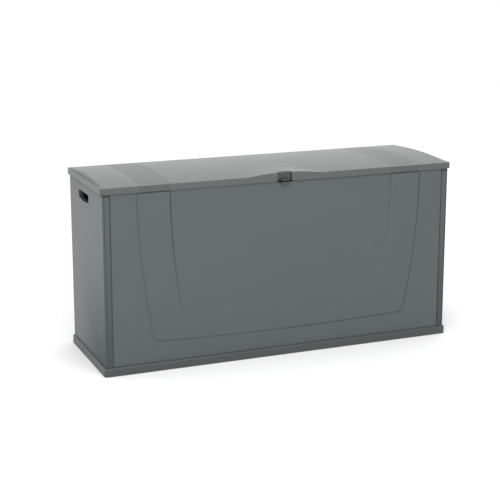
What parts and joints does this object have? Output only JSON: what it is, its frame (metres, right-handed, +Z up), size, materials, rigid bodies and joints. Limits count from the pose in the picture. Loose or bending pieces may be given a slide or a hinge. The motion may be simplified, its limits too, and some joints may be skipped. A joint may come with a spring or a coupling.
{
  "type": "deck storage box",
  "caption": "Long lidded resin storage box on a plinth, with raised front bands, hand holes in its ends, a hinged domed lid and a swinging lock tab.",
  "frame": {"origin": "middle of the footprint, on the ground", "axes": "+X along the front towards its right end, +Y towards the hinged back, +Z up"},
  "size_m": [1.2, 0.4118, 0.6019],
  "materials": {
    "body_resin": "fine satin texture",
    "lid_resin": "fine satin texture",
    "tray_resin": "fine satin texture",
    "lock_resin": "satin",
    "hinge_resin": "satin",
    "steel": "zinc plated"
  },
  "bodies": {
    "box": {"base_tray": "tray_resin", "front_panel": "body_resin", "back_panel": "body_resin", "left_side_panel": "body_resin", "right_side_panel": "body_resin", "lock_staple": "lock_resin", "staple_screws": "steel", "hinge_wall_screws": "steel", "hinge_left_wall_leaf": "hinge_resin", "hinge_middle_wall_leaf": "hinge_resin", "hinge_right_wall_leaf": "hinge_resin", "hinge_left_pin": "steel", "hinge_middle_pin": "steel", "hinge_right_pin": "steel"},
    "lid": {"lid": "lid_resin", "lock_tab_pin": "steel", "hinge_lid_screws": "steel", "hinge_left_lid_leaf": "hinge_resin", "hinge_middle_lid_leaf": "hinge_resin", "hinge_right_lid_leaf": "hinge_resin"},
    "tab": {"lock_tab": "lock_resin"}
  },
  "joints": [
    {"name": "lid_hinge", "type": "hinge", "parent": "box", "child": "lid", "pos_m": [0, 0.1947, 0.564], "axis": [-1, 0, 0], "range_deg": [0, 100]},
    {"name": "lock_tab_hinge", "type": "hinge", "parent": "lid", "child": "tab", "pos_m": [0, -0.187, 0.598], "axis": [-1, 0, 0], "range_deg": [0, 85]}
  ]
}
